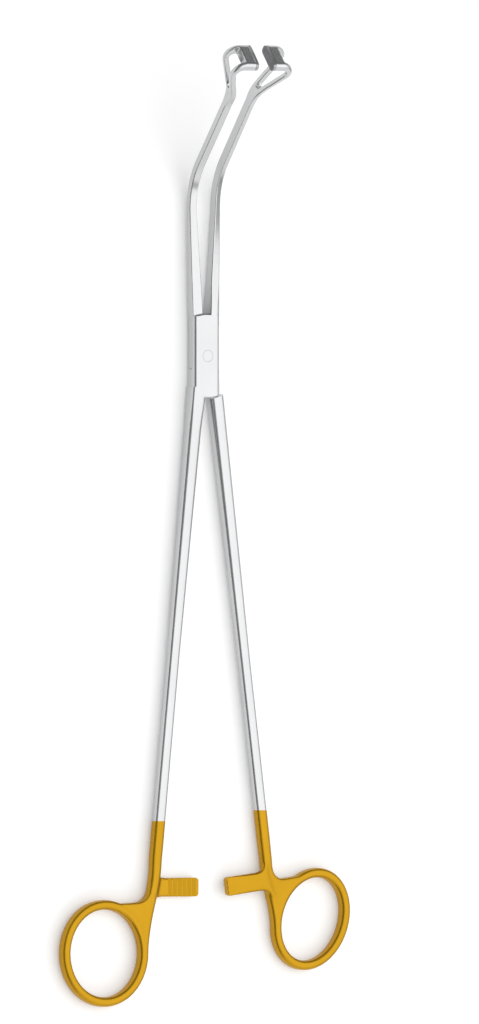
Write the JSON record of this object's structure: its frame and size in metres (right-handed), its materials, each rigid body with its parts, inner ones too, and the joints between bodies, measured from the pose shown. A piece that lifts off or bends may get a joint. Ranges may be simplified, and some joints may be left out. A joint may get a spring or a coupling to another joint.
{
  "type": "babcock forceps",
  "caption": "Long steel tissue forceps with bent arms, fenestrated jaws, a box lock, ratchets and gilt finger rings.",
  "frame": {"origin": "pivot axis of the box lock, on the underside of the box, which lies on the table", "axes": "+Y along the instrument towards the jaws, +Z along the pivot axis away from the table, +X towards the side of the tongue half's ring"},
  "size_m": [0.0863, 0.2491, 0.0353],
  "materials": {
    "polished_steel": "polished stainless steel, gilt from just above the ratchets to the rings",
    "hard_insert": "matt hard metal with crossed grooves"
  },
  "bodies": {
    "box_body": {"box_half": "polished_steel", "pivot_pin": "polished_steel", "box_half_insert": "hard_insert"},
    "tongue_body": {"tongue_half": "polished_steel", "tongue_half_insert": "hard_insert"}
  },
  "joints": [
    {"name": "box_lock", "type": "hinge", "parent": "box_body", "child": "tongue_body", "pos_m": [0, 0, 0.0024], "axis": [0, 0, 1], "range_deg": [-3, 12]}
  ]
}
